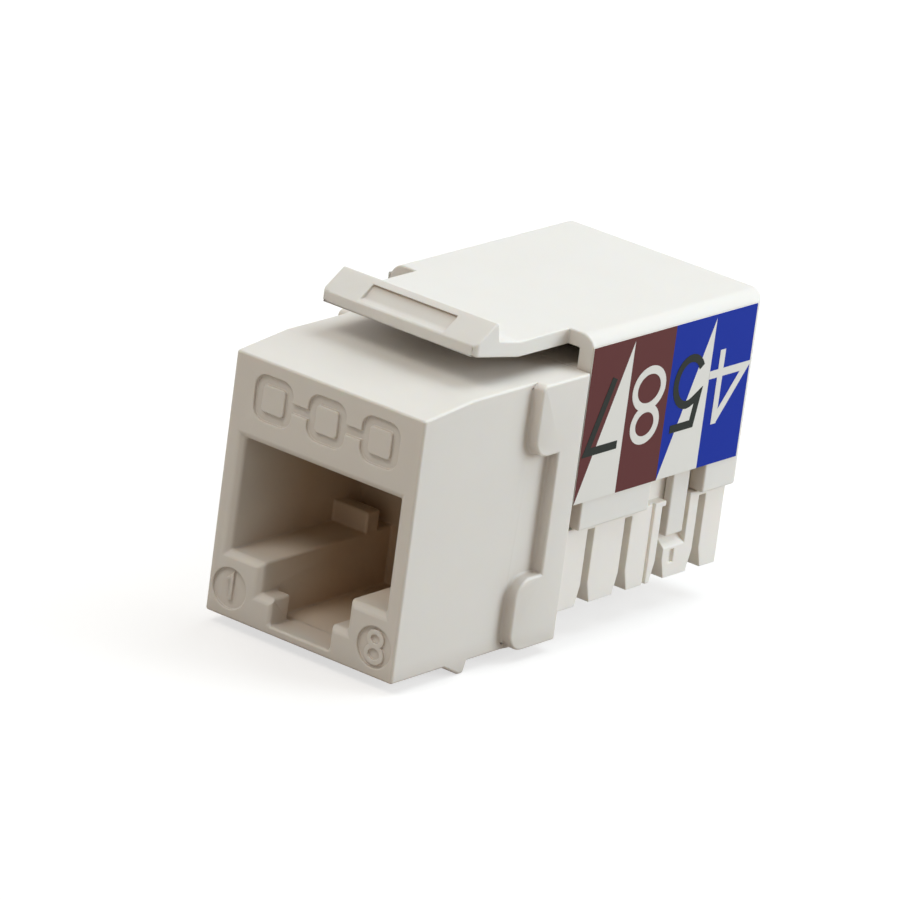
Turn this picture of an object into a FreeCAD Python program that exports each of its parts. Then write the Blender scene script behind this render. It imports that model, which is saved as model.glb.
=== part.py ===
# Keystone jack: a modular socket in a snap-in housing, with a punch-down wire block under a labelled cover.
# Millimetres, +Z up. The port looks towards -Y. The origin is on the surface the jack stands on,
# under the middle of its length and width.
import FreeCAD, Part
import math
import os

Vector = FreeCAD.Vector

# Socket cavity, seen from the port side
port_width = 12.0
port_height = 7.1
port_depth = 12.2
port_bevel = 0.35            # lead-in around the mouth
shelf_height = 4.15          # from the underside to the ledges the plug slides on
side_wall = 1.25             # each side of the port
tab_slot_width = 6.7         # room for the plug's locking tab
tab_slot_floor = 0.4         # wall left under the tab slot
sill_height = 0.55           # thicker floor at the mouth of the tab slot
sill_length = 2.4
keeper_gap = 4.6             # between the two shoulders that the tab locks behind
keeper_height = 1.65         # over the sill
keeper_depth = 1.75
plug_stop_start = 9.7        # where the plug's nose comes to rest
plug_stop_depth = 1.2
plug_stop_height = 1.3
front_wall = 1.6
rear_wall = 1.25
nose_length = 1.25           # how far the wire block enters the housing
carrier_ledge = 0.35         # each side, the seat of the contact carrier

# Layers above the socket
carrier_thickness = 1.6
board_thickness = 1.2
pin_headroom = 1.45          # over the board, for the pins
roof_thickness = 1.5
ramp_rise = 0.5              # the roof falls this much towards the front edge
ramp_run = 4.5
corner_round = 0.2

# Flange that stops behind the panel, and the fixed catch under the housing
flange_proud = 0.75
flange_bar_width = 2.2
tab_reach = 2.3              # each flange tab, forward of the bar
tab_height = 4.65
tab_round = 1.3
tab_top_round = 0.45
catch_start = 5.0
catch_ramp = 1.5             # length of the gentle front slope
catch_crest = 0.45
catch_heel = 0.25            # length of the steep rear slope
catch_drop = 0.75
catch_round = 0.2

# Pin number discs in the face
disc_radius = 1.29
disc_depth = 0.2
disc_inset = 1.63            # disc centre, in from the housing's side
disc_height = 1.85

# Wire block
slot_count = 4
slot_pitch = 3.72
slot_width = 0.68
slot_mouth = 1.4             # across the lead-in at the tower tips
lead_in_height = 1.35
tip_height = 1.4             # tower tips, from the housing's underside
slot_top = 6.3
shoulder_height = 6.65       # where the cover's skirt comes down
front_tower = 2.7
rear_tower = 1.95
tower_depth = 3.8            # across each row of towers
channel_height = 8.2         # ceiling of the cable channel
channel_round = 1.2
groove_set_back = 1.25       # shallow groove, in front of the third slot's middle
groove_width = 0.3
groove_depth = 0.2
recess_foot = 3.4            # lower end of the tongue's recess
recess_ramp = 0.6            # the recess slopes out over this height
recess_play = 0.35           # room behind the tongue
tip_mark_top = 3.2           # small upright groove below the recess
tip_mark_height = 0.85
tip_mark_width = 0.5

# Insulation-displacement blades
blade_width = 2.6
blade_thickness = 0.4
blade_slit = 0.26
blade_slit_height = 5.2
blade_tip_height = 2.9
blade_tip_chamfer = 0.75
blade_shoulder = 0.6         # below the board
blade_pin_width = 0.7
blade_inset = 1.9            # blade, in from the towers' outer face
pin_stand_out = 0.6          # over the board

# Spring contacts
contact_count = 8
contact_pitch = 1.02
contact_radius = 0.19
contact_root = 3.6           # from the face to the upright leg
contact_bend_height = 0.75   # bend, above the port's ceiling
contact_bend_radius = 0.75
contact_slope = 27.0         # degrees below level
contact_reach = 7.4          # from the upright leg back to the free end
contact_slot = 0.56
contact_swing_room = 0.36    # clear of the leg as it rocks, each side
comb_start = 10.15
comb_drop = 3.4

# Cover, latch arm and labels
cover_inset = 0.1            # the sides, in from the edges of the flange
cover_wall = 1.1
cover_overhang = 0.45        # behind the wire block
cover_edge_round = 1.0
cover_corner_round = 0.5
label_low = 8.6              # lower edge of the labels
label_top_margin = 0.7
label_rear_margin = 0.65
label_thickness = 0.1
skirt_notch = 1.0
window_start = 7.9           # behind the cover's front end
window_length = 5.5
tongue_width = 1.7
tongue_thickness = 0.6
tongue_tip_height = 4.2
tongue_lug = 0.45            # inward hook on the tongue
tongue_lug_height = 0.9
latch_gap = 1.25             # free height under the arm
latch_shelf = 3.2            # floor under the arm's root, inside the cover
latch_shelf_thickness = 1.0
latch_thickness = 1.0
arm_inset = 1.95             # arm edge, in from the cover's side
arm_flat = 4.7               # level part of the arm
arm_bend_radius = 2.0
arm_length = 9.0             # to the front of the tip
arm_rise = 0.75
tip_foot = 6.75              # from the root to the back of the tip ridge
ridge_height = 1.3
ridge_set_back = 0.25
tip_face_height = 0.5
tip_edge_round = 0.2
tip_corner_round = 0.4
pocket_width = 6.5
pocket_start = 0.45          # lower edge, up the tip's slope
pocket_length = 1.45
pocket_low_depth = 0.65
pocket_high_depth = 0.3

# Clearances
fit_gap = 0.05
board_gap = 0.15
blade_gap = 0.06
pin_gap = 0.1

# Not shapes: how far a cutting tool runs past the surface that it cuts, and the shortest edge drawn
past = 1.0
least = 1e-6

# Places worked out from the sizes above
port_half = port_width / 2
face_half = port_half + side_wall
hollow_half = port_half + carrier_ledge
port_top = shelf_height + port_height
board_bottom = port_top + carrier_thickness
board_top = board_bottom + board_thickness
ceiling = board_top + pin_headroom
housing_top = ceiling + roof_thickness
face_height = housing_top - ramp_rise
recess_start = port_depth + rear_wall
housing_depth = recess_start + nose_length
catch_end = catch_start + catch_ramp + catch_crest + catch_heel
flange_half = face_half + flange_proud
flange_front = housing_depth - flange_bar_width
cover_half = flange_half - cover_inset
cover_inner_half = cover_half - cover_wall
cover_front = housing_depth + fit_gap
arm_top = housing_top + latch_gap + latch_thickness
arm_bottom = arm_top - latch_thickness
arm_half = cover_half - arm_inset
tower_half = cover_inner_half + tongue_thickness
core_half = cover_inner_half - fit_gap
block_front = housing_depth + fit_gap
first_slot = block_front + front_tower + slot_width / 2
slot_places = [first_slot + i * slot_pitch for i in range(slot_count)]
block_rear = slot_places[-1] + slot_width / 2 + rear_tower
cover_rear = block_rear + cover_overhang
core_rear = cover_rear - cover_wall - fit_gap
channel_half = tower_half - tower_depth
blade_place = tower_half - blade_inset
window_front = cover_front + window_start
window_rear = window_front + window_length
tongue_front = slot_places[2] + slot_width / 2 + fit_gap
tongue_rear = tongue_front + tongue_width
board_front = front_wall + board_gap
board_rear = cover_rear - cover_wall - board_gap
pin_top = board_top + pin_stand_out
contact_bend = port_top + contact_bend_height
contact_pivot = board_bottom - contact_radius
contact_places = [(i - (contact_count - 1) / 2) * contact_pitch for i in range(contact_count)]
label_top = arm_top - label_top_margin
label_rear = cover_rear - label_rear_margin

# The design frame has the face at y = 0 and the underside at z = 0
stand = Vector(0, -cover_rear / 2, catch_drop)


def box(x0, x1, y0, y1, z0, z1):
    return Part.makeBox(x1 - x0, y1 - y0, z1 - z0, Vector(x0, y0, z0))


def outline(corners):
    """Closed edges through (a, b, radius) corners, each rounded by a tangent arc."""
    points = [Vector(a, b, 0) for a, b, r in corners]
    count = len(points)
    starts, ends, middles = [], [], []
    for i, corner in enumerate(corners):
        here, before, after = points[i], points[i - 1], points[(i + 1) % count]
        back = (before - here).normalize()
        on = (after - here).normalize()
        half = back.getAngle(on) / 2
        radius = corner[2]
        cut = radius / math.tan(half) if radius else 0
        starts.append(here + back * cut)
        ends.append(here + on * cut)
        bisector = (back + on)
        middle = here
        if radius:
            middle = here + bisector.normalize() * (radius / math.sin(half) - radius)
        middles.append(middle)
    edges = []
    for i, corner in enumerate(corners):
        if corner[2]:
            edges.append(Part.Arc(starts[i], middles[i], ends[i]).toShape())
        following = starts[(i + 1) % count]
        if ends[i].distanceToPoint(following) > least:
            edges.append(Part.LineSegment(ends[i], following).toShape())
    return edges


def sharp(*points):
    return [(a, b, 0) for a, b in points]


def section(corners, plane):
    """Flat face of an outline drawn in the YZ, XZ or XY plane."""
    face = Part.Face(Part.Wire(outline(corners)))
    if plane == "YZ":
        face.rotate(Vector(0, 0, 0), Vector(1, 1, 1), 120)
    elif plane == "XZ":
        face.rotate(Vector(0, 0, 0), Vector(1, 0, 0), 90)
    return face


def across(corners, x0, x1):
    """Prism of a side profile (y, z), from x0 to x1."""
    face = section(corners, "YZ")
    face.translate(Vector(x0, 0, 0))
    return face.extrude(Vector(x1 - x0, 0, 0))


def along(corners, y0, y1):
    """Prism of a front profile (x, z), from y0 to y1."""
    face = section(corners, "XZ")
    face.translate(Vector(0, y0, 0))
    return face.extrude(Vector(0, y1 - y0, 0))


def upright(corners, z0, z1):
    """Prism of a plan profile (x, y), from z0 to z1."""
    face = section(corners, "XY")
    face.translate(Vector(0, 0, z0))
    return face.extrude(Vector(0, 0, z1 - z0))


def both_sides(solid):
    return [solid, solid.mirror(Vector(0, 0, 0), Vector(1, 0, 0))]


def mouth(half_width, low, high, depth):
    """Flared lead-in of a rectangular opening in the face."""
    def ring(grow, y):
        a, b, c = half_width + grow, low - grow, high + grow
        corners = [Vector(-a, y, b), Vector(a, y, b), Vector(a, y, c), Vector(-a, y, c)]
        return Part.makePolygon(corners + corners[:1])
    return Part.makeLoft([ring(depth, 0), ring(0, depth)], True, True)


def jack_housing():
    side = sharp((0, 0), (housing_depth, 0), (housing_depth, housing_top),
                 (ramp_run, housing_top), (0, face_height))
    shell = across(side, -face_half, face_half)
    plan = [(-face_half, 0, corner_round), (face_half, 0, corner_round),
            (face_half, housing_depth, 0), (-face_half, housing_depth, 0)]
    shell = shell.common(upright(plan, 0, housing_top))
    front = [(-face_half, 0, 0), (face_half, 0, 0),
             (face_half, housing_top, corner_round), (-face_half, housing_top, corner_round)]
    shell = shell.common(along(front, 0, housing_depth))

    bar = box(face_half - side_wall / 2, flange_half, flange_front, housing_depth, 0, housing_top)
    tab_front = flange_front - tab_reach
    tab_end = flange_front + flange_bar_width / 2
    flange = [bar]
    for low, upper_round in ((0, tab_round), (housing_top - tab_height, tab_top_round)):
        tab = [(tab_front, low, tab_round), (tab_end, low, 0),
               (tab_end, low + tab_height, 0), (tab_front, low + tab_height, upper_round)]
        flange.append(across(tab, face_half - side_wall / 2, flange_half))
    for piece in flange:
        shell = shell.fuse(both_sides(piece))

    crest = catch_start + catch_ramp
    root = tab_slot_floor / 2
    catch = [(catch_start, root, 0), (catch_start, 0, 0), (crest, -catch_drop, catch_round),
             (crest + catch_crest, -catch_drop, catch_round), (catch_end, 0, 0), (catch_end, root, 0)]
    shell = shell.fuse(across(catch, -face_half, face_half))

    # The tab slot under the ledges: over the keepers, between them, and behind them
    keeper_top = sill_height + keeper_height
    tab_half = tab_slot_width / 2
    gap_half = keeper_gap / 2
    cuts = [
        box(-port_half, port_half, -past, port_depth, shelf_height, port_top),
        mouth(port_half, shelf_height, port_top, port_bevel),
        box(-tab_half, tab_half, -past, port_depth, keeper_top, shelf_height),
        mouth(tab_half, keeper_top, shelf_height, port_bevel),
        box(-gap_half, gap_half, -past, keeper_depth, sill_height, keeper_top),
        mouth(gap_half, sill_height + port_bevel / 2, keeper_top, port_bevel / 2),
        box(-tab_half, tab_half, keeper_depth, port_depth, sill_height, keeper_top),
        box(-tab_half, tab_half, sill_length, port_depth, tab_slot_floor, sill_height),
        box(-hollow_half, hollow_half, front_wall, housing_depth + past, port_top, ceiling),
        box(-hollow_half, hollow_half, recess_start, housing_depth + past, tip_height - fit_gap, ceiling),
    ]
    shell = shell.cut(cuts)
    stop = box(tab_half, port_half, plug_stop_start, plug_stop_start + plug_stop_depth,
               shelf_height, shelf_height + plug_stop_height)
    shell = shell.fuse(both_sides(stop))
    disc = Part.makeCylinder(disc_radius, disc_depth, Vector(face_half - disc_inset, 0, disc_height),
                             Vector(0, 1, 0))
    return shell.cut(both_sides(disc)).removeSplitter()


def contact_carrier():
    comb_rear = port_depth - fit_gap
    plate = box(-hollow_half + fit_gap, hollow_half - fit_gap, front_wall + fit_gap, recess_start,
                port_top, board_bottom)
    comb = box(-port_half + fit_gap, port_half - fit_gap, comb_start, comb_rear,
               port_top - comb_drop, port_top)
    carrier = plate.fuse(comb)
    slot_front = contact_root - contact_radius - contact_swing_room
    slots = [box(x - contact_slot / 2, x + contact_slot / 2, slot_front, comb_rear + past,
                 port_top - comb_drop - past, board_bottom + past) for x in contact_places]
    spine = box(-port_half, port_half, comb_rear, recess_start, port_top, board_bottom)
    return carrier.cut(slots).fuse(spine).removeSplitter()


def contact_wire(x):
    """Round spring wire: an upright leg through the board, a bend and a sloping arm."""
    slope = math.radians(contact_slope)
    turn = math.pi / 2 - slope
    trim = contact_bend_radius * math.tan(turn / 2)
    direction = Vector(0, math.cos(slope), -math.sin(slope))
    corner = Vector(x, contact_root, contact_bend)
    top = Vector(x, contact_root, pin_top)
    leg_end = corner + Vector(0, 0, trim)
    arm_start = corner + direction * trim
    arm_end = corner + direction * (contact_reach / math.cos(slope))
    middle = (leg_end + arm_start) * 0.5 - corner
    gap = contact_bend_radius / math.cos(turn / 2) - contact_bend_radius
    middle = corner + middle.normalize() * gap
    path = Part.Wire([Part.LineSegment(top, leg_end).toShape(),
                      Part.Arc(leg_end, middle, arm_start).toShape(),
                      Part.LineSegment(arm_start, arm_end).toShape()])
    ring = Part.Wire([Part.Circle(top, Vector(0, 0, -1), contact_radius).toShape()])
    return path.makePipeShell([ring], True, True)


def circuit_board():
    front_half = hollow_half - board_gap
    rear_half = cover_inner_half - board_gap
    step = housing_depth + board_gap
    plan = sharp((-front_half, board_front), (front_half, board_front), (front_half, step),
                 (rear_half, step), (rear_half, board_rear), (-rear_half, board_rear),
                 (-rear_half, step), (-front_half, step))
    board = upright(plan, board_bottom, board_top)
    hole_half = contact_radius + pin_gap
    run_half = contact_radius + contact_swing_room
    holes = [box(x - hole_half, x + hole_half, contact_root - run_half, contact_root + run_half,
                 board_bottom - past, board_top + past) for x in contact_places]
    pin_hole = blade_pin_width / 2 + pin_gap
    for y in slot_places:
        low = Vector(blade_place, y, board_bottom - past)
        holes += both_sides(Part.makeCylinder(pin_hole, board_thickness + 2 * past, low))
    return board.cut(holes)


def wire_block():
    tower = box(-tower_half, tower_half, block_front, block_rear, tip_height, shoulder_height)
    core = box(-core_half, core_half, block_front, core_rear, shoulder_height, board_bottom)
    nose = box(-hollow_half + fit_gap, hollow_half - fit_gap, recess_start + fit_gap, block_front,
               tip_height, board_bottom)
    block = tower.fuse([core, nose])
    channel_front = block_front + rear_tower
    channel = [(-channel_half, 0, 0), (channel_half, 0, 0), (channel_half, channel_height, channel_round),
               (-channel_half, channel_height, channel_round)]
    cuts = [along(channel, channel_front, block_rear + past)]
    half, wide = slot_width / 2, slot_mouth / 2
    lead_top = tip_height + lead_in_height
    for y in slot_places:
        slot = sharp((y - wide, 0), (y + wide, 0), (y + wide, tip_height), (y + half, lead_top),
                     (y + half, slot_top), (y - half, slot_top), (y - half, lead_top),
                     (y - wide, tip_height))
        cuts.append(across(slot, -tower_half - past, tower_half + past))
        thick = blade_thickness / 2 + blade_gap
        broad = blade_width / 2 + blade_gap
        pocket = box(blade_place - thick, blade_place + thick, y - broad, y + broad,
                     blade_tip_height - blade_gap, board_bottom + past)
        cuts += both_sides(pocket)
    inner = cover_inner_half - fit_gap
    outer = tower_half + fit_gap
    groove_middle = slot_places[2] - groove_set_back
    groove = box(tower_half - groove_depth, outer, groove_middle - groove_width / 2,
                 groove_middle + groove_width / 2, 0, shoulder_height + past)
    recess_front = slot_places[2]
    recess = along(sharp((inner, recess_foot + recess_ramp), (tower_half, recess_foot), (outer, recess_foot),
                         (outer, shoulder_height + past), (inner, shoulder_height + past)),
                   recess_front, tongue_rear + recess_play)
    lug_pocket = box(inner - tongue_lug - fit_gap, inner + fit_gap, recess_front,
                     tongue_rear + fit_gap, tongue_tip_height - fit_gap,
                     tongue_tip_height + tongue_lug_height + fit_gap)
    mark_middle = (tongue_front + tongue_rear) / 2
    mark = box(tower_half - groove_depth, outer, mark_middle - tip_mark_width / 2,
               mark_middle + tip_mark_width / 2, tip_mark_top - tip_mark_height, tip_mark_top)
    for cut in (groove, recess, lug_pocket, mark):
        cuts += both_sides(cut)
    return block.cut(cuts).removeSplitter()


def idc_blade(side, y):
    """Forked blade with a pin on top. The fork straddles the wire slot."""
    half, slit, pin = blade_width / 2, blade_slit / 2, blade_pin_width / 2
    low = blade_tip_height
    shoulder = board_bottom - blade_shoulder
    slit_top = low + blade_slit_height
    lip = slit + blade_tip_chamfer
    fork = low + blade_tip_chamfer
    profile = sharp((y - half, low), (y - lip, low), (y - slit, fork), (y - slit, slit_top),
                    (y + slit, slit_top), (y + slit, fork), (y + lip, low), (y + half, low),
                    (y + half, shoulder), (y + pin, shoulder), (y + pin, pin_top),
                    (y - pin, pin_top), (y - pin, shoulder), (y - half, shoulder))
    x = side * blade_place
    return across(profile, x - blade_thickness / 2, x + blade_thickness / 2)


def rear_cover():
    profile = [(-cover_half, 0, 0), (cover_half, 0, 0), (cover_half, arm_top, cover_edge_round),
               (-cover_half, arm_top, cover_edge_round)]
    shell = along(profile, cover_front, cover_rear)
    plan = [(-cover_half, cover_front, 0), (cover_half, cover_front, 0),
            (cover_half, cover_rear, cover_corner_round), (-cover_half, cover_rear, cover_corner_round)]
    shell = shell.common(upright(plan, 0, arm_top))
    skirt = shoulder_height + fit_gap
    side = sharp((cover_front, arm_top), (cover_front, label_low), (cover_front + skirt_notch, label_low),
                 (cover_front + skirt_notch, skirt), (window_front, skirt), (window_front, label_low),
                 (window_rear, label_low), (window_rear, skirt), (cover_rear, skirt), (cover_rear, arm_top))
    shell = shell.common(across(side, -cover_half, cover_half))
    inner = cover_inner_half
    cavity = box(-inner, inner, cover_front - past, cover_rear - cover_wall, 0, arm_bottom)
    shell = shell.cut(cavity)
    shelf = box(-inner, inner, cover_front, cover_front + latch_shelf,
                housing_top - latch_shelf_thickness, housing_top)
    shell = shell.fuse(shelf)
    tongue = box(inner, tower_half, tongue_front, tongue_rear, tongue_tip_height,
                 label_low + cover_wall)
    lug_top = tongue_tip_height + tongue_lug_height
    lug = along(sharp((inner, tongue_tip_height), (inner, lug_top), (inner - tongue_lug, lug_top),
                      (inner - tongue_lug / 2, tongue_tip_height)),
                tongue_front, tongue_rear)
    for piece in (tongue, lug):
        shell = shell.fuse(both_sides(piece))
    return shell.removeSplitter()


def latch_arm():
    root = cover_front - fit_gap
    bend = root - arm_flat
    tip = root - arm_length
    foot = root - tip_foot
    foot_top = arm_top + arm_rise / 2
    ridge = (foot - ridge_set_back, foot_top + ridge_height)
    lip = (tip - tip_face_height / 2, arm_bottom + arm_rise + tip_face_height)
    profile = [(root, arm_bottom, 0), (root, arm_top, 0), (bend, arm_top, arm_bend_radius),
               (foot, foot_top, tip_edge_round), (ridge[0], ridge[1], tip_edge_round),
               (lip[0], lip[1], tip_edge_round), (tip, arm_bottom + arm_rise, tip_edge_round / 2),
               (bend, arm_bottom, arm_bend_radius)]
    arm = across(profile, -arm_half, arm_half)
    plan = [(-arm_half, tip, tip_corner_round), (arm_half, tip, tip_corner_round),
            (arm_half, root, 0), (-arm_half, root, 0)]
    arm = arm.common(upright(plan, arm_bottom, ridge[1]))
    slope = Vector(ridge[0] - lip[0], ridge[1] - lip[1]).normalize()
    low = Vector(lip[0], lip[1]) + slope * pocket_start
    high = low + slope * pocket_length
    pocket = across(sharp((tip - past, low.y), (low.x + pocket_low_depth, low.y),
                          (high.x + pocket_high_depth, high.y), (tip - past, high.y)),
                    -pocket_width / 2, pocket_width / 2)
    return arm.cut(pocket)


def wiring_label(side):
    x0, x1 = sorted((side * cover_half, side * (cover_half + label_thickness)))
    return box(x0, x1, cover_front, label_rear, label_low, label_top)


def write(name, solid):
    placed = solid.copy()
    placed.translate(stand)
    placed.exportStep("parts/" + name + ".step")
    print(name, len(placed.Solids), placed.isValid(), round(placed.Volume, 2))


os.makedirs("parts", exist_ok=True)
write("jack_housing", jack_housing())
write("contact_carrier", contact_carrier())
write("circuit_board", circuit_board())
write("wire_block", wire_block())
write("rear_cover", rear_cover())
write("latch_arm", latch_arm())
for i, x in enumerate(contact_places):
    write("contact_wire_%d" % (i + 1), contact_wire(x))
for name, side in (("left", -1), ("right", 1)):
    write("label_" + name, wiring_label(side))
    for i, y in enumerate(slot_places):
        write("idc_blade_%s_%d" % (name, i + 1), idc_blade(side, y))
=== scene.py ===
# A keystone jack dressed for looking at: plastics, metals, printed labels, and a studio round it.
import math

import bmesh
import bpy
import numpy as np
from mathutils import Matrix, Vector


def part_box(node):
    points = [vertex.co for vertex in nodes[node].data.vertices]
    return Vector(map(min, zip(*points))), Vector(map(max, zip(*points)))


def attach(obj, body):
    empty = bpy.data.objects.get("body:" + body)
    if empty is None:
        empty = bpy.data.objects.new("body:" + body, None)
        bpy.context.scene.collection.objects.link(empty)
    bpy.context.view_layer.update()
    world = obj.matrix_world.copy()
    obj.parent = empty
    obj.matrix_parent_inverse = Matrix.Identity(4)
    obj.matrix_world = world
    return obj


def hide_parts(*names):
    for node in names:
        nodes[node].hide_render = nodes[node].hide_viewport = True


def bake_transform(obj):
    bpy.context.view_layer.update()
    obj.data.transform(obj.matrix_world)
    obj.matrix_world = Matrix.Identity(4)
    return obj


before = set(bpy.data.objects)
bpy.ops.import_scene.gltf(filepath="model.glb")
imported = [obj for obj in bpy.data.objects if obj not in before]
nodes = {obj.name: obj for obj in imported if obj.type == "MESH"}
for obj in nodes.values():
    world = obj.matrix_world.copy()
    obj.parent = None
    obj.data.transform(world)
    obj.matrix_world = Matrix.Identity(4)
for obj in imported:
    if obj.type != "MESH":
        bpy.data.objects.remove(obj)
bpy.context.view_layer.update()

mm = 0.001
bpy.context.scene.view_settings.view_transform = "Standard"


def placeOf(nodeName):
    # lowest and highest corner of a CAD node, in millimetres
    low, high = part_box(nodeName)
    return np.array(low) / mm, np.array(high) / mm


housingLow, housingHigh = placeOf("jack_housing")
armLow, armHigh = placeOf("latch_arm")
labelLow, labelHigh = placeOf("label_right")
print("frame loaded:", len(nodes), "nodes")


def newPiece(name, data):
    piece = bpy.data.objects.new(name, data)
    bpy.context.scene.collection.objects.link(piece)
    return piece


def gridFaces(rows, columns, closedRows):
    # quads between neighbouring points of a grid whose columns run round; the rows may close too
    firstRows = np.arange(rows if closedRows else rows - 1)
    row, column = np.meshgrid(firstRows, np.arange(columns), indexing="ij")
    nextRow, nextColumn = (row + 1) % rows, (column + 1) % columns
    corners = [row * columns + column, nextRow * columns + column,
               nextRow * columns + nextColumn, row * columns + nextColumn]
    return np.stack(corners, -1).reshape(-1, 4).tolist()


def faceOutwards(mesh):
    shape = bmesh.new()
    shape.from_mesh(mesh)
    bmesh.ops.recalc_face_normals(shape, faces=shape.faces)
    shape.to_mesh(mesh)
    shape.free()


def stroke(name, path, width, levels, axes, closed=False):
    # A flat bar along a path: every point is pushed half the width to both sides along the mitre
    # of the two segments that meet there, m = (n1 + n2) / (1 + n1.n2), at the lower and the upper
    # level. A point (a, b, level) lands at origin + a right + b up + level out.
    origin, right, up, out = (np.array(axis, float) for axis in axes)
    path = np.array(path, float)
    ahead = np.roll(path, -1, 0) - path
    if not closed:
        ahead[-1] = ahead[-2]
    ahead /= np.linalg.norm(ahead, axis=1)[:, None]
    behind = np.roll(ahead, 1, 0)
    if not closed:
        behind[0] = ahead[0]
    normal = np.stack([-ahead[:, 1], ahead[:, 0]], -1)
    before = np.stack([-behind[:, 1], behind[:, 0]], -1)
    mitre = (normal + before) / (1 + (normal * before).sum(1))[:, None] * width / 2
    low, high = levels
    left, other = path + mitre, path - mitre
    rings = np.stack([np.c_[side, np.full(len(path), level)] for side, level in
                      ((left, low), (left, high), (other, high), (other, low))], 1)
    points = origin + rings.reshape(-1, 3) @ np.array([right, up, out])
    faces = gridFaces(len(path), 4, closed)
    if not closed:
        last = 4 * len(path)
        faces += [[0, 1, 2, 3], [last - 1, last - 2, last - 3, last - 4]]
    mesh = bpy.data.meshes.new(name)
    mesh.from_pydata((points * mm).tolist(), [], faces)
    faceOutwards(mesh)
    return newPiece(name, mesh)


def arc(centre, half, start, end, count=20):
    # an ellipse's arc between two angles in degrees: centre + (half width cos t, half height sin t)
    turn = np.radians(np.linspace(start, end, count))
    return np.stack([centre[0] + half[0] * np.cos(turn), centre[1] + half[1] * np.sin(turn)], -1)


def loop(centre, half, count=40):
    # a whole ellipse, its last point being the one before the first
    return arc(centre, half, 0, 360, count + 1)[:-1]


def roundedSquare(centre, half, radius, count=6):
    # four quarter circles about the corners of a square that is smaller by the radius
    corners = [(1, 1, 0), (-1, 1, 90), (-1, -1, 180), (1, -1, 270)]
    inset = half - radius
    return np.concatenate([arc((centre[0] + a * inset, centre[1] + b * inset), (radius, radius),
                               start, start + 90, count) for a, b, start in corners])


joinReach = 0.0005 * mm             # points nearer than this are one
planeReach = 0.0001 * mm            # points nearer to a cutting plane are on it
flatTurn = math.radians(0.5)        # faces that turn less are one flat face


def weld(mesh):
    # merges loose triangles and drops the edges inside flat faces
    shape = bmesh.new()
    shape.from_mesh(mesh)
    bmesh.ops.remove_doubles(shape, verts=shape.verts, dist=joinReach)
    bmesh.ops.dissolve_limit(shape, angle_limit=flatTurn, verts=shape.verts, edges=shape.edges)
    shape.to_mesh(mesh)
    shape.free()


def copyOfNode(name, nodeName):
    # merged and stored before the weld, whose faces depend on the order that this gives
    shape = bmesh.new()
    shape.from_mesh(nodes[nodeName].data)
    bmesh.ops.remove_doubles(shape, verts=shape.verts, dist=joinReach)
    mesh = bpy.data.meshes.new(name)
    shape.to_mesh(mesh)
    shape.free()
    weld(mesh)
    return newPiece(name, mesh)


def combine(piece, tool, operation):
    # cuts or adds a tool shape, then drops it
    step = piece.modifiers.new("combine", "BOOLEAN")
    step.operation, step.object, step.solver = operation, tool, "EXACT"
    solved = piece.evaluated_get(bpy.context.evaluated_depsgraph_get())
    piece.data = bpy.data.meshes.new_from_object(solved)
    piece.modifiers.clear()
    bpy.data.objects.remove(tool)
    weld(piece.data)


def joined(name, pieces):
    shape = bmesh.new()
    for piece in pieces:
        shape.from_mesh(piece.data)
        bpy.data.objects.remove(piece)
    mesh = bpy.data.meshes.new(name)
    shape.to_mesh(mesh)
    shape.free()
    return newPiece(name, mesh)


# how the moulded edges are rounded
edgeLook = {
    "sharpest": math.radians(28),       # an edge that turns more gets a round
    "mostOfRoom": 0.36,                 # of the way across a face that one round may take
    "leastShare": 0.06,                 # of the full width, below which an edge stays sharp
    "shortest": 0.15 * mm,              # pieces of border near a cusp
    "cuspAngle": math.radians(20),
    "chordTurns": (math.radians(1), math.radians(35)),
    "spots": (0.05, 0.5, 0.95),         # places along an edge where the room is measured
}


def isCusp(corner):
    return corner.calc_angle() < edgeLook["cuspAngle"]


def roomAcross(edge, isSharp):
    # The shortest distance, over both faces of an edge, straight across to the far border, from
    # its middle and near its ends. The edges next to it count where they run out into it.
    room = 1.0
    first, last = (corner.co for corner in edge.verts)
    for side in edge.link_loops:
        ahead, behind = side.link_loop_next, side.link_loop_prev
        beside = {ahead.edge: isCusp(ahead), behind.edge: isCusp(side)}
        along = (ahead.vert.co - side.vert.co).normalized()
        inward = side.face.normal.cross(along)
        borders = [border for border in side.face.edges
                   if border is not edge and border in isSharp and beside.get(border, True)]
        for spot in (first.lerp(last, share) for share in edgeLook["spots"]):
            for border in borders:
                one, other = (corner.co - spot for corner in border.verts)
                before, after = one.dot(along), other.dot(along)
                if before * after < 0:
                    reach = one.lerp(other, before / (before - after)).dot(inward)
                    if reach > 0:
                        room = min(room, reach)
    return room


def inDrawnRound(edge, isSharp):
    # one of the short chords of a round: its neighbour on the border turns away a few degrees
    least, most = edgeLook["chordTurns"]
    for corner in edge.verts:
        along = corner.co - edge.other_vert(corner).co
        turns = [along.angle(other.other_vert(corner).co - corner.co)
                 for other in corner.link_edges if other is not edge and other in isSharp]
        if any(least < turn < most for turn in turns):
            return True
    return False


def splitAtCusps(shape, isSharp):
    # where two borders of a face run out into one another, the longer is halved towards the tip
    for corner in [corner for face in shape.faces for corner in face.loops]:
        borders = (corner.edge, corner.link_loop_prev.edge)
        if isCusp(corner) and all(border in isSharp for border in borders):
            tip = corner.vert
            edge = max(borders, key=lambda border: border.calc_length())
            while edge.calc_length() > edgeLook["shortest"]:
                other = bmesh.utils.edge_split(edge, tip, 0.5)[0]
                isSharp.add(other)
                edge = other if tip in other.verts else edge


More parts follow.
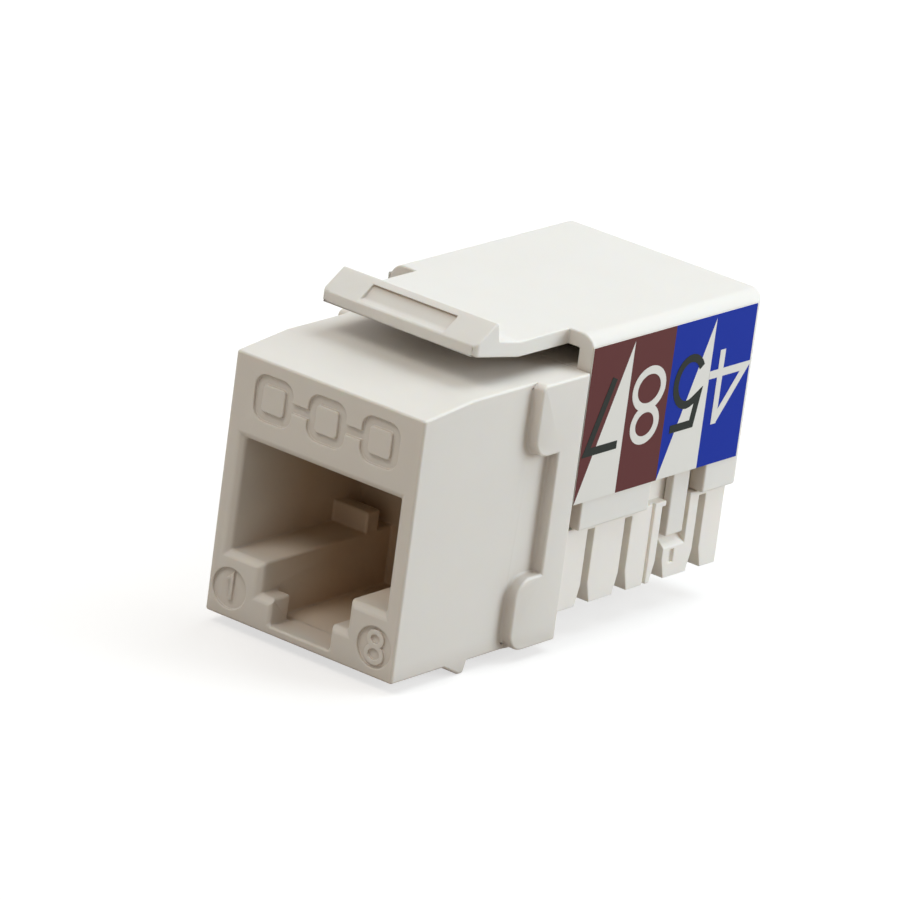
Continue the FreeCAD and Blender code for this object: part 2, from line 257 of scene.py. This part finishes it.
def softenEdges(piece, width, segments=3):
    # Moulded edges: a round on every edge sharper than the facets of the curved faces, narrower
    # wherever a face is too narrow for two full rounds.
    mesh = piece.data
    shape = bmesh.new()
    shape.from_mesh(mesh)
    weight = shape.edges.layers.float.new("bevel_weight_edge")
    isSharp = {edge for edge in shape.edges
               if edge.is_manifold and edge.calc_face_angle() > edgeLook["sharpest"]}
    splitAtCusps(shape, isSharp)
    for edge in isSharp:
        room = roomAcross(edge, isSharp)
        if not inDrawnRound(edge, isSharp):
            room = min(room, edge.calc_length() / 2)
        share = min(1.0, edgeLook["mostOfRoom"] * room / (width * mm))
        edge[weight] = share if share > edgeLook["leastShare"] else 0.0
    shape.to_mesh(mesh)
    shape.free()
    mesh.polygons.foreach_set("use_smooth", np.ones(len(mesh.polygons), bool))
    mesh.set_sharp_from_angle(angle=edgeLook["sharpest"])
    step = piece.modifiers.new("softenEdges", "BEVEL")
    step.width, step.segments = width * mm, segments
    step.limit_method = "WEIGHT"
    step.use_clamp_overlap = False
    step.harden_normals = True


class Signal:
    # An output socket of a material. Operators add Math nodes; node() adds any other node.
    def __init__(self, tree, socket=None):
        self.tree, self.socket = tree, socket

    def node(self, kind, settings, inputs, output=0):
        made = self.tree.nodes.new(kind)
        for key, value in settings.items():
            setattr(made, key, value)
        for key, value in inputs.items():
            if isinstance(value, Signal):
                self.tree.links.new(value.socket, made.inputs[key])
            else:
                made.inputs[key].default_value = value
        return Signal(self.tree, made.outputs[output] if made.outputs else None)

    def maths(self, operation, *values):
        # with no values given, the operation is on this signal alone
        inputs = dict(enumerate(values or [self]))
        return self.node("ShaderNodeMath", {"operation": operation}, inputs)

    def __add__(self, other):
        return self.maths("ADD", self, other)

    __radd__ = __add__

    def __sub__(self, other):
        return self.maths("SUBTRACT", self, other)

    def __rsub__(self, other):
        return self.maths("SUBTRACT", other, self)

    def __mul__(self, other):
        return self.maths("MULTIPLY", self, other)

    __rmul__ = __mul__

    def __truediv__(self, other):
        return self.maths("DIVIDE", self, other)

    def __rtruediv__(self, other):
        return self.maths("DIVIDE", other, self)

    def __gt__(self, other):
        return self.maths("GREATER_THAN", self, other)

    def __lt__(self, other):
        return self.maths("LESS_THAN", self, other)

    def clamped(self):
        # held between 0 and 1
        low = self.maths("MAXIMUM", self, 0.0)
        return low.maths("MINIMUM", low, 1.0)

    def colourMix(self, first, second):
        # this signal is the share of the second colour; sockets 6 and 7 take the colours
        return self.node("ShaderNodeMix", {"data_type": "RGBA"}, {0: self, 6: first, 7: second}, 2)

    def axes(self):
        # x, y and z in millimetres
        split = self.node("ShaderNodeSeparateXYZ", {}, {"Vector": self}).socket.node
        return [Signal(self.tree, socket) / mm for socket in split.outputs]

    def noise(self, size, detail=2.0):
        # soft random clouds about as large as size, in millimetres
        return self.node("ShaderNodeTexNoise", {},
                         {"Vector": self, "Scale": 1 / (size * mm), "Detail": detail})

    def bump(self, strength, depth):
        # this signal is the height, and depth is in millimetres
        return self.node("ShaderNodeBump", {},
                         {"Strength": strength, "Distance": depth * mm, "Height": self})


def colourOf(red, green, blue):
    # screen values of 0 to 255 as the linear colour that a socket takes
    share = np.array([red, green, blue]) / 255
    linear = np.where(share <= 0.04045, share / 12.92, ((share + 0.055) / 1.055) ** 2.4)
    return (*linear.tolist(), 1.0)


def newMaterial(name, uniform):
    # uniform holds what is the same all over the surface
    material = bpy.data.materials.new(name)
    material.use_nodes = True
    tree = material.node_tree
    shader = tree.nodes["Principled BSDF"]
    for key, value in uniform.items():
        shader.inputs[key].default_value = value
    place = Signal(tree).node("ShaderNodeTexCoord", {}, {}, "Object")
    return material, place, shader


def feed(shader, **signals):
    sockets = {"colour": "Base Color", "roughness": "Roughness", "normal": "Normal",
               "glow": "Emission Color"}
    for key, signal in signals.items():
        signal.tree.links.new(signal.socket, shader.inputs[sockets[key]])


plasticLook = {
    "uniform": {"IOR": 1.5, "Specular IOR Level": 0.3, "Subsurface Weight": 0.25,
                "Subsurface Radius": (1.0, 0.75, 0.5), "Subsurface Scale": 0.5 * mm},
    "cloud": (5.0, 3.0),      # mm and detail: slow drift of the colour
    "grain": (0.09, 2.0),     # the spark-eroded grain of the mould
    "wave": (1.6, 1.0),       # slight sinks in the skin
    "waveShare": 2,           # of the wave in the relief, beside 1 of the grain
    "relief": (0.35, 0.010),  # strength, and mm
    "roughness": 0.48,
    "roughnessDrift": 0.10,
    "recessReach": 2.0,       # mm, how near walls must be to gather shade
    "recessSamples": 8,
}


def plastic(name, tones, port=None):
    look = plasticLook
    material, place, shader = newMaterial(name, look["uniform"])
    cloud, grain, wave = (place.noise(*look[key]) for key in ("cloud", "grain", "wave"))
    # painted shade: where ambient occlusion finds walls near, the skin turns towards the darker,
    # warmer recess tone by its share
    paintedShadeMask = 1 - place.node("ShaderNodeAmbientOcclusion", {"samples": look["recessSamples"]},
                               {"Distance": look["recessReach"] * mm}, "AO")
    tint = cloud.colourMix(colourOf(*tones["skin"]), colourOf(*tones["drift"]))
    tint = (paintedShadeMask * tones["recessShare"]).colourMix(tint, colourOf(*tones["recess"]))
    if port:
        tint = paintedPortShade(place, tint, port)
    feed(shader, colour=tint, roughness=look["roughness"] + (grain - 0.5) * look["roughnessDrift"],
         normal=(grain + wave * look["waveShare"]).bump(*look["relief"]))
    return material


def paintedPortShade(place, tint, port):
    # painted shade: darker and warmer inside the port, in step with the depth behind the face, and
    # in its tab slot sooner
    portShadeTone = colourOf(*port["tint"])
    x, y, z = place.axes()
    depth = y - housingLow[1]
    inside = (x.maths("ABSOLUTE") < port["half"]) * (z > port["low"]) * (z < port["high"])
    inSlot = inside * (z < port["slotTop"])
    share = (depth / port["run"]).clamped() * inside * port["share"]
    slotShare = (depth / port["slotRun"]).clamped() * inSlot * port["slotShare"]
    return slotShare.colourMix(share.colourMix(tint, portShadeTone), portShadeTone)


metalLook = {
    "patch": (0.9, 2.0),      # mm and detail: where the skin is worn
    "lineDetail": 4.0,
    "roughnessDrift": 0.3,
    "relief": (0.25, 0.008),
}


def metal(name, tones):
    look = metalLook
    material, place, shader = newMaterial(name, {"Metallic": 1.0})
    lines = place.noise(tones["lineSize"], look["lineDetail"])
    worn = place.noise(*look["patch"])
    feed(shader, colour=worn.colourMix(colourOf(*tones["skin"]), colourOf(*tones["worn"])),
         roughness=tones["roughness"] + (lines - 0.5) * look["roughnessDrift"],
         normal=lines.bump(*look["relief"]))
    return material


print("finishes described")


# Figures are (path, closed) pairs about a height of 1: the foot is at 0, the head at 1, and the
# middle at a = 0.
figurePaths = {
    "1": [([(-0.17, 0.8), (0.03, 1.0), (0.03, 0.0)], False)],
    "2": [([*arc((0.0, 0.72), (0.29, 0.28), 165, -42), (-0.3, 0.0), (0.32, 0.0)], False)],
    "3": [(arc((0.0, 0.745), (0.26, 0.255), 155, -90), False),
          (arc((0.0, 0.255), (0.3, 0.255), 90, -155), False)],
    "4": [([(0.21, 0.0), (0.21, 1.06)], False),
          ([(0.45, 0.33), (-0.36, 0.33), (0.21, 1.02)], False)],
    "5": [([(0.3, 0.96), (-0.17, 0.96), (-0.25, 0.56),
            *arc((0.0, 0.33), (0.29, 0.33), 118, -150)], False)],
    "6": [(loop((0.0, 0.29), (0.29, 0.29)), True),
          (arc((0.12, 0.36), (0.41, 0.62), 72, 184), False)],
    "7": [([(-0.33, 0.94), (0.33, 0.94), (-0.1, -0.03)], False)],
    "8": [(loop((0.0, 0.262), (0.305, 0.262)), True),
          (loop((0.0, 0.765), (0.255, 0.225)), True)],
}


def drawFigure(figure, height, width, levels, axes):
    parts = [stroke("figure", np.array(path) * height, width, levels, axes, closed)
             for path, closed in figurePaths[figure]]
    for part in parts[1:]:
        combine(parts[0], part, "UNION")
    return parts[0]


housingLook = {
    "edgeRound": 0.16,        # mm, as every length below
    "plastic": {"skin": (232, 231, 228), "drift": (229, 227, 223),
                # painted shade in hollows: the tone and its share where walls are near
                "recess": (146, 112, 76), "recessShare": 0.5},
    # the painted shade of the port's inside, darker and warmer with depth
    "port": {
        "tint": (205, 170, 128),
        "half": 6.3, "low": 1.0, "high": 12.6,         # the port's inside
        "run": 7.0, "share": 0.6,                      # behind the face, and the tint at its end
        "slotTop": 4.92, "slotRun": 1.5, "slotShare": 0.15,
    },
    "signMiddle": 14.2,       # above the underside of the housing
    "signDepth": 0.22,
    "signStroke": 0.6,
    "squareHalf": 1.15,
    "squareRound": 0.55,
    "squarePitch": 4.1,
    "cutStart": -0.3,         # cuts begin this far in front of the face
    "discHeight": 1.85,
    "discFromMiddle": 5.62,
    "figureLevels": (0.04, 0.3),             # behind the face, from skin to root
    "figureHeights": {"1": 1.45, "8": 1.9},
    "figureStroke": 0.32,
    "catchDrop": 0.75,        # the underside above the tip of the fixed catch
    "rampRun": 4.5,           # the roof's gentle slope behind the face
    "rampRise": 0.5,
    "faceHalf": 7.25,
    "flangeLength": 4.0,
    "roofEdgeHalf": 0.2,      # of the bar that squares the roof's small round
    "roofEdgeReach": 2.5,     # down the slope
}


def squareRoofEdge(shell, side):
    # The roof's own small round is filled, so that the whole edge gets one even round later.
    look = housingLook
    half, slope = look["roofEdgeHalf"], math.atan2(look["rampRise"], look["rampRun"])
    bend = np.array([housingLow[1] + look["rampRun"] + half * math.tan(slope / 2),
                     housingHigh[2] - half])
    front = bend - look["roofEdgeReach"] * np.array([math.cos(slope), math.sin(slope)])
    rear = (housingHigh[1] - look["flangeLength"], bend[1])
    axes = ((0, 0, 0), (0, 1, 0), (0, 0, 1), (side, 0, 0))
    levels = (look["faceHalf"] - 2 * half, look["faceHalf"])
    combine(shell, stroke("roof_edge", [front, bend, rear], 2 * half, levels, axes), "UNION")


def cutSign(shell, underside):
    # three linked rounded squares, sunk into the band over the port
    look = housingLook
    middle = (0, housingLow[1], underside + look["signMiddle"])
    axes = (middle, (1, 0, 0), (0, 0, 1), (0, 1, 0))
    levels = (look["cutStart"], look["signDepth"])
    half, pitch = look["squareHalf"], look["squarePitch"]
    squares = [(roundedSquare((place, 0.0), half, look["squareRound"]), True)
               for place in (-pitch, 0.0, pitch)]
    reach = pitch / 2 - half
    bars = [([(place - reach, 0.0), (place + reach, 0.0)], False)
            for place in (-pitch / 2, pitch / 2)]
    for path, closed in squares + bars:
        tool = stroke("sign", path, look["signStroke"], levels, axes, closed)
        combine(shell, tool, "DIFFERENCE")


def dressHousing():
    look = housingLook
    shell = copyOfNode("housing_shell", "jack_housing")
    for side in (-1, 1):
        squareRoofEdge(shell, side)
    underside = housingLow[2] + look["catchDrop"]
    cutSign(shell, underside)
    for figure, side in (("1", -1), ("8", 1)):
        height = look["figureHeights"][figure]
        foot = underside + look["discHeight"] - height / 2
        origin = (side * look["discFromMiddle"], housingLow[1], foot)
        axes = (origin, (1, 0, 0), (0, 0, 1), (0, 1, 0))
        raised = drawFigure(figure, height, look["figureStroke"], look["figureLevels"], axes)
        combine(shell, raised, "UNION")
    softenEdges(shell, look["edgeRound"])
    shell.data.materials.append(plastic("housingPlastic", look["plastic"], look["port"]))
    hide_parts("jack_housing")
    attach(shell, "jack")


dressHousing()
print("housing dressed")


coverLook = {
    "edgeRound": 0.12,        # mm, as every length below
    "plastic": {"skin": (232, 232, 230), "drift": (229, 228, 225),
                # painted shade in hollows: the tone and its share where walls are near
                "recess": (176, 146, 108), "recessShare": 0.5},
    "rootOverlap": 0.4,       # of the arm inside the roof
    "rootReach": 0.01,        # the arm's points this near its root are drawn into the roof
    "bendLength": 3.2,        # of the arm that takes the bend
    "bendSteps": 8,
}


def dressCover():
    # the cover with its latch arm, one moulding
    look = coverLook
    cover = copyOfNode("cover_and_arm", "rear_cover")
    arm = copyOfNode("arm", "latch_arm")
    root, underArm = armHigh[1], armLow[2] * mm
    shape = bmesh.new()
    shape.from_mesh(arm.data)
    for vertex in shape.verts:
        if vertex.co.y > (root - look["rootReach"]) * mm:
            vertex.co.y += look["rootOverlap"] * mm
    shape.to_mesh(arm.data)
    shape.free()
    combine(cover, arm, "UNION")
    shape = bmesh.new()
    shape.from_mesh(cover.data)
    for step in np.linspace(look["bendLength"], 0, look["bendSteps"], endpoint=False):
        everything = [*shape.verts, *shape.edges, *shape.faces]
        bmesh.ops.bisect_plane(shape, geom=everything, dist=planeReach, plane_no=Vector((0, 1, 0)),
                               plane_co=Vector((0, (root - step) * mm, 0)))
    shape.to_mesh(cover.data)
    shape.free()
    softenEdges(cover, look["edgeRound"])
    cover.data.materials.append(plastic("coverPlastic", look["plastic"]))
    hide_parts("rear_cover", "latch_arm")
    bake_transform(cover)


dressCover()
print("cover dressed")


blockLook = {
    "edgeRound": 0.07,        # mm
    "roundSteps": 2,
    "plastic": {"skin": (244, 242, 239), "drift": (240, 238, 234),
                # painted shade in hollows: the tone and its share where walls are near
                "recess": (226, 212, 186), "recessShare": 0.3},
}


def dressBlock():
    look = blockLook
    block = copyOfNode("wire_block_body", "wire_block")
    softenEdges(block, look["edgeRound"], look["roundSteps"])
    block.data.materials.append(plastic("blockPlastic", look["plastic"]))
    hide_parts("wire_block")
    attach(block, "jack")


dressBlock()
print("wire block dressed")


labelLook = {
    "right": {"inks": [(94, 46, 46), (2, 43, 160)], "digits": "7854"},
    "left": {"inks": [(22, 104, 54), (206, 98, 24)], "digits": "3612"},
    "paper": (232, 232, 229),
    "dark": (30, 36, 31),
    "speck": (150, 150, 150),           # what the mottle of the print turns towards
    "specular": 0.1,
    "roughness": 0.5,
    "fieldMottle": {"noise": (0.25, 3.0), "share": 0.02, "roughnessDrift": 0.12},
    "figureMottle": {"noise": (0.2, 3.0), "share": 0.05, "roughnessDrift": 0.1},
    "figureSpeck": (140, 140, 140),
    "relief": {"noise": (0.5, 2.0), "bump": (0.2, 0.01)},
    "fields": 4,
    "apexDrop": 0.25,         # mm, wedge tip below the label's top edge
    "digitHeight": 4.55,      # mm, along the middle of the strokes
    "digitFoot": 2.45,        # mm, below the label's top edge; the figures hang head down
    "strokeWidth": 0.52,
    "inkHeight": 0.015,       # mm, the paper is set in by as much, and the inks end at its old face
}
fieldLength = (labelHigh[1] - labelLow[1]) / labelLook["fields"]


def printed(shader, place, ink, speck, mottle):
    # an ink with its mottle, which also varies the gloss
    look = labelLook
    cloud = place.noise(*mottle["noise"])
    feed(shader, roughness=look["roughness"] + (cloud - 0.5) * mottle["roughnessDrift"])
    return (cloud * mottle["share"]).colourMix(ink, colourOf(*speck))


def labelPrint(name, inks):
    # Two pairs of equal fields: the first of a pair has a white wedge whose tip is at the top of
    # its rear edge and whose foot is its whole lower edge; the second is plain.
    look = labelLook
    material, place, shader = newMaterial(name, {"Specular IOR Level": look["specular"]})
    x, y, z = place.axes()
    face = x.maths("ABSOLUTE") > labelHigh[0] - 2 * look["inkHeight"]
    along = (y - labelLow[1]) / fieldLength
    rise = (z - labelLow[2]) / (labelHigh[2] - labelLow[2] - look["apexDrop"])
    pair = (along * 0.5).maths("FLOOR")
    inPair = along - pair * 2
    wedge = (rise < inPair) * (inPair < 1)
    ink = pair.colourMix(colourOf(*inks[0]), colourOf(*inks[1]))
    ink = printed(shader, place, ink, look["speck"], look["fieldMottle"])
    paper = 1 - face * (1 - wedge)
    relief = place.noise(*look["relief"]["noise"])
    feed(shader, colour=paper.colourMix(ink, colourOf(*look["paper"])),
         normal=relief.bump(*look["relief"]["bump"]))
    return material


def printInk(name, tone):
    look = labelLook
    material, place, shader = newMaterial(name, {"Specular IOR Level": look["specular"]})
    feed(shader, colour=printed(shader, place, colourOf(*tone), look["figureSpeck"],
                                look["figureMottle"]))
    return material


def dressPaper(side):
    # the label's plate, its printed face moved in by the height of the inks
    look = labelLook
    paper = copyOfNode(side + "_label_print", "label_" + side)
    places = np.empty(3 * len(paper.data.vertices))
    paper.data.vertices.foreach_get("co", places)
    reach = (labelHigh[0] - look["inkHeight"]) * mm
    places[::3] = np.clip(places[::3], -reach, reach)
    paper.data.vertices.foreach_set("co", places)
    paper.data.materials.append(labelPrint(side + "LabelPrint", look[side]["inks"]))
    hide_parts("label_" + side)
    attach(paper, "jack")


def dressFigures(side, inks):
    # dark and white figures in turn, each in the middle of its field
    look = labelLook
    outward = 1 if side == "right" else -1
    levels = (-2 * look["inkHeight"], 0.0)
    groups = {tone: [] for tone in inks}
    for number, figure in enumerate(look[side]["digits"]):
        middle = labelLow[1] + (number + 0.5) * fieldLength
        origin = (outward * labelHigh[0], middle, labelHigh[2] - look["digitFoot"])
        axes = (origin, (0, -outward, 0), (0, 0, -1), (outward, 0, 0))
        drawn = drawFigure(figure, look["digitHeight"], look["strokeWidth"], levels, axes)
        groups["white" if number % 2 else "dark"].append(drawn)
    for tone, ink in inks.items():
        figures = joined(side + "_figures_" + tone, groups[tone])
        figures.data.materials.append(ink)
        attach(figures, "jack")


figureInks = {"dark": printInk("darkInk", labelLook["dark"]),
              "white": printInk("whiteInk", labelLook["paper"])}
for side in ("right", "left"):
    dressPaper(side)
    dressFigures(side, figureInks)
print("labels dressed")


carrierLook = {"skin": (120, 112, 100), "drift": (112, 104, 92),
               # painted shade in hollows: the tone and its share where walls are near
               "recess": (80, 70, 58), "recessShare": 0.5}
goldLook = {"skin": (232, 190, 104), "worn": (214, 168, 88), "roughness": 0.24, "lineSize": 0.05}
tinLook = {"skin": (196, 194, 188), "worn": (172, 168, 160), "roughness": 0.36, "lineSize": 0.12}
boardLook = {
    "uniform": {"Roughness": 0.4, "Coat Weight": 0.3},
    "tones": [(24, 84, 52), (36, 104, 64)],
    "cloud": (3.0, 3.0),      # mm and detail
    "cloudShare": 0.6,
    "weaveTurns": 9,          # radians in a millimetre
    "weaveShare": 0.1,
    "relief": (0.2, 0.01),
}


def laminate(name):
    # green solder resist over glass cloth: the weave is sin(kx) sin(ky)
    look = boardLook
    material, place, shader = newMaterial(name, look["uniform"])
    x, y = place.axes()[:2]
    weave = (x * look["weaveTurns"]).maths("SINE") * (y * look["weaveTurns"]).maths("SINE")
    share = place.noise(*look["cloud"]) * look["cloudShare"] + weave * look["weaveShare"]
    feed(shader, colour=share.colourMix(*(colourOf(*tone) for tone in look["tones"])),
         normal=weave.bump(*look["relief"]))
    return material


# these parts keep their CAD shape
plainFinishes = {"contact_carrier": plastic("carrierPlastic", carrierLook),
                 "circuit_board": laminate("laminate"),
                 "contact_wire": metal("goldPlate", goldLook),
                 "idc_blade": metal("tinPlate", tinLook)}
for nodeName, node in nodes.items():
    for start, finish in plainFinishes.items():
        if nodeName.startswith(start):
            node.material_slots[0].material = finish
print("plain parts finished")


studioLook = {
    "floorHalf": 1.5,                   # m
    "floorUniform": {"Roughness": 0.9, "Specular IOR Level": 0.1, "Emission Strength": 1.0},
    "floorTone": (0.40, 0.35, 0.30),    # as the object's light meets it
    "floorSeen": (0.42, 0.42, 0.42),    # as it is seen
    "floorGlow": 0.64,                  # added to what is seen, and 1 far away
    "floorNear": 70.0,                  # mm from the middle, where the glow starts to rise
    "floorFade": 200.0,                 # mm further on, where it ends
    "worldTone": (1.0, 0.90, 0.78),
    "worldLevel": 0.29,
    "aim": (0, 0, 0.01),                # m, where the lamps point
}
lampLooks = {
    "key": {"place": (0.10, 0.24, 0.64), "size": 0.5, "power": 2.15, "tone": (0.87, 0.955, 1.0)},
    "fill": {"place": (0.20, 0.16, 0.09), "size": 0.17, "power": 0.42, "tone": (0.88, 0.955, 1.0)},
    "left": {"place": (-0.42, 0.20, 0.06), "size": 0.2, "power": 0.6, "tone": (0.90, 0.96, 1.0)},
    "front": {"place": (-0.08, -0.36, 0.58), "size": 0.3, "power": 1.4, "tone": (1.0, 0.95, 0.87)},
}
black, white = (0.0, 0.0, 0.0, 1.0), (1.0, 1.0, 1.0, 1.0)


def seenDirectly(tree):
    # 1 for camera, glossy and transmission rays, 0 for those that only light the object
    rays = Signal(tree).node("ShaderNodeLightPath", {}, {}).socket.node.outputs
    camera, glossy, through = (Signal(tree, rays["Is " + kind + " Ray"])
                               for kind in ("Camera", "Glossy", "Transmission"))
    return (camera + glossy + through).clamped()


def makeFloor():
    look = studioLook
    half = look["floorHalf"]
    corners = [(-half, -half, 0), (half, -half, 0), (half, half, 0), (-half, half, 0)]
    mesh = bpy.data.meshes.new("floor")
    mesh.from_pydata(corners, [], [(0, 1, 2, 3)])
    floor = newPiece("floor", mesh)
    material, place, shader = newMaterial("floor", look["floorUniform"])
    seen = seenDirectly(material.node_tree)
    x, y = place.axes()[:2]
    far = (((x * x + y * y).maths("SQRT") - look["floorNear"]) / look["floorFade"]).clamped()
    glow = seen * (far * (1 - look["floorGlow"]) + look["floorGlow"])
    feed(shader, glow=glow.colourMix(black, white),
         colour=seen.colourMix((*look["floorTone"], 1.0), (*look["floorSeen"], 1.0)))
    mesh.materials.append(material)


def makeWorld():
    world = bpy.data.worlds.new("studio")
    bpy.context.scene.world = world
    world.use_nodes = True
    tree = world.node_tree
    tree.nodes.clear()
    dim = tuple(studioLook["worldLevel"] * part for part in studioLook["worldTone"])
    tone = seenDirectly(tree).colourMix((*dim, 1.0), white)
    sky = tone.node("ShaderNodeBackground", {}, {"Color": tone, "Strength": 1.0})
    sky.node("ShaderNodeOutputWorld", {}, {"Surface": sky})


def makeLamp(name, look):
    data = bpy.data.lights.new(name, "AREA")
    data.shape, data.size = "DISK", look["size"]
    data.energy, data.color = look["power"], look["tone"]
    lamp = newPiece(name, data)
    lamp.location = look["place"]
    lamp.rotation_mode = "QUATERNION"
    ahead = Vector(studioLook["aim"]) - Vector(look["place"])
    lamp.rotation_quaternion = ahead.to_track_quat("-Z", "Y")


cameraLook = {
    "target": (-1.09, -1.845, 10.14),    # mm
    "distance": 482.4,
    "azimuth": 36.45,                    # degrees
    "elevation": 19.07,
    "roll": -7.64,
    "lens": 320.0,                       # mm
    "sensor": 36.0,
    "clip": (0.01, 10.0),                # m
}


def makeCamera():
    # back points from the target to the camera; the roll turns the sides of the picture
    look = cameraLook
    azimuth, elevation, roll = (math.radians(look[key]) for key in ("azimuth", "elevation", "roll"))
    flat = math.cos(elevation)
    back = Vector((math.sin(azimuth) * flat, -math.cos(azimuth) * flat, math.sin(elevation)))
    level = (-back).cross(Vector((0, 0, 1))).normalized()
    down = (-back).cross(level)
    right = level * math.cos(roll) + down * math.sin(roll)
    up = back.cross(right)
    data = bpy.data.cameras.new("camera")
    data.lens, data.sensor_width = look["lens"], look["sensor"]
    data.clip_start, data.clip_end = look["clip"]
    camera = newPiece("camera", data)
    middle = (Vector(look["target"]) + look["distance"] * back) * mm
    turn = Matrix((right, up, back)).transposed().to_4x4()
    camera.matrix_world = Matrix.Translation(middle) @ turn
    bpy.context.scene.camera = camera


makeFloor()
makeWorld()
for name, look in lampLooks.items():
    makeLamp(name, look)
makeCamera()
print("studio ready")
